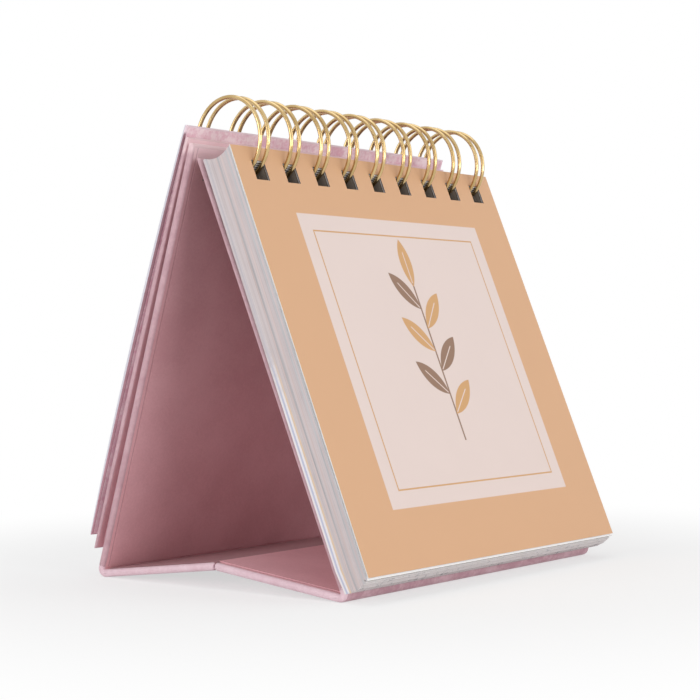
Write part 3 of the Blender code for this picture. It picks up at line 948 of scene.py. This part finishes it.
# a quarter bend from a loop into the link to its neighbour
def linkBend(x, side):
    bend, radius = wireLook["bend"], wireLook["radius"]
    points = []
    for turn in spread(0.0, math.pi / 2, wireLook["bendSteps"])[1:]:
        angle = wireLook["link"] - math.degrees(bend * (1 - math.sin(turn)) / radius)
        points.append(ringPoint(x + side * bend * (1 - math.cos(turn)), angle, radius))
    return points


def twinLoopWire():
    count = punchLook["count"]
    half = wireLook["spacing"] / 2
    points = []
    for i in range(count):
        centre = (i - (count - 1) / 2) * punchLook["pitch"]
        if i > 0:
            points += linkBend(centre - half, -1)[::-1]
        points += hairpin(centre)
        if i < count - 1:
            points += linkBend(centre + half, 1)
    wire = bpy.data.curves.new("twinLoopWire", "CURVE")
    wire.dimensions = "3D"
    wire.bevel_depth = wireLook["thick"] / 2
    wire.bevel_resolution = wireLook["sides"]
    wire.use_fill_caps = True
    spline = wire.splines.new("POLY")
    spline.points.add(len(points) - 1)
    for knot, point in zip(spline.points, points):
        knot.co = (*(leafFrame @ point), 1.0)
    spline.use_smooth = True
    wire.materials.append(goldWire)
    piece = bpy.data.objects.new("twinLoopWire", wire)
    bpy.context.scene.collection.objects.link(piece)
    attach(piece, "stand_front")
    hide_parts("wire_binding")


twinLoopWire()
print("wire wound")


# rays that see the white surround: the lens's own, and those that metal or glass sends on
def seeingRays(tree):
    path = tree.nodes.new("ShaderNodeLightPath")
    camera, glossy, through = [Shade(tree, path.outputs["Is " + kind + " Ray"])
                               for kind in ("Camera", "Glossy", "Transmission")]
    return camera.most(glossy).most(through)


floorLook = {
    "size": 4.0, "color": (0.95, 0.95, 0.95), "roughness": 0.9, "gloss": 0.0,
    "near": 0.07, "far": 0.22, "veil": 0.6,
}


# a pale floor that keeps the shadow near the book and runs out to white
def paleFloor():
    mesh = bpy.data.meshes.new("floor")
    half = floorLook["size"]
    corners = [(-half, -half, 0.0), (half, -half, 0.0), (half, half, 0.0), (-half, half, 0.0)]
    mesh.from_pydata(corners, [], [(0, 1, 2, 3)])
    floor = bpy.data.objects.new("floor", mesh)
    bpy.context.scene.collection.objects.link(floor)
    material, shader, place = startFinish("paleFloor", {
        "Base Color": rgb(floorLook["color"]), "Roughness": floorLook["roughness"],
        "Specular IOR Level": floorLook["gloss"],
    })
    tree = material.node_tree
    distance = place.node("ShaderNodeVectorMath", {"operation": "LENGTH"}, {0: place}, "Value")
    runOut = distance.step(floorLook["near"], floorLook["far"])
    share = seeingRays(tree) * (floorLook["veil"] + (1.0 - floorLook["veil"]) * runOut)
    white = place.node("ShaderNodeEmission", {}, {"Strength": 1.0})
    mixed = place.node("ShaderNodeMixShader", {}, {0: share, 1: Shade(tree, shader.outputs[0]), 2: white})
    tree.links.new(mixed.socket, tree.nodes["Material Output"].inputs["Surface"])
    mesh.materials.append(material)


paleFloor()

worldLook = {"color": (1.0, 1.0, 1.0), "ambient": 0.50, "seen": 1.0}
lampLooks = {
    "key": {"place": (0.40, -0.95, 0.50), "size": 0.50, "power": 1.5},
    "front": {"place": (-0.20, -1.05, 0.08), "size": 0.40, "power": 3.72},
    "top": {"place": (-0.10, 0.10, 1.10), "size": 0.8, "power": 1.5},
    "fill": {"place": (-0.86, -0.46, 0.12), "size": 0.5, "power": 0.6},
    "side": {"place": (-0.95, 0.20, 0.22), "size": 0.5, "power": 2.8},
}


# soft studio light, and a white surround for what the lens and the metal see
def studioLight():
    world = bpy.data.worlds.new("studio")
    bpy.context.scene.world = world
    world.use_nodes = True
    tree = world.node_tree
    ambient = tree.nodes["Background"]
    ambient.inputs["Color"].default_value = rgb(worldLook["color"])
    ambient.inputs["Strength"].default_value = worldLook["ambient"]
    seen = seeingRays(tree)
    sockets = {"Color": rgb(worldLook["color"]), "Strength": worldLook["seen"]}
    white = seen.node("ShaderNodeBackground", {}, sockets)
    mixed = seen.node("ShaderNodeMixShader", {}, {0: seen, 1: Shade(tree, ambient.outputs[0]), 2: white})
    tree.links.new(mixed.socket, tree.nodes["World Output"].inputs["Surface"])
    middle = (cadBox[0] + cadBox[1]) / 2
    for name, look in lampLooks.items():
        lamp = bpy.data.lights.new(name, "AREA")
        lamp.shape = "DISK"
        lamp.size = look["size"]
        lamp.energy = look["power"]
        holder = bpy.data.objects.new(name, lamp)
        holder.location = look["place"]
        holder.rotation_euler = (middle - Vector(look["place"])).to_track_quat("-Z", "Y").to_euler()
        bpy.context.scene.collection.objects.link(holder)


studioLight()

# the reach is the camera's place from the ring axis
cameraLook = {
    "reach": (-0.386611, -0.309455, -0.057007), "turn": (89.969, 0.694, -51.253), "lens": 86.39, "sensor": 36.0,
    "clip": 0.01,
}


def photoCamera():
    data = bpy.data.cameras.new("camera")
    data.lens = cameraLook["lens"]
    data.sensor_width = cameraLook["sensor"]
    data.clip_start = cameraLook["clip"]
    camera = bpy.data.objects.new("camera", data)
    camera.location = ringAxis + Vector(cameraLook["reach"])
    camera.rotation_euler = [math.radians(angle) for angle in cameraLook["turn"]]
    bpy.context.scene.collection.objects.link(camera)
    bpy.context.scene.camera = camera
    bpy.context.scene.view_settings.view_transform = "Standard"


photoCamera()
print("stage lit, camera set")
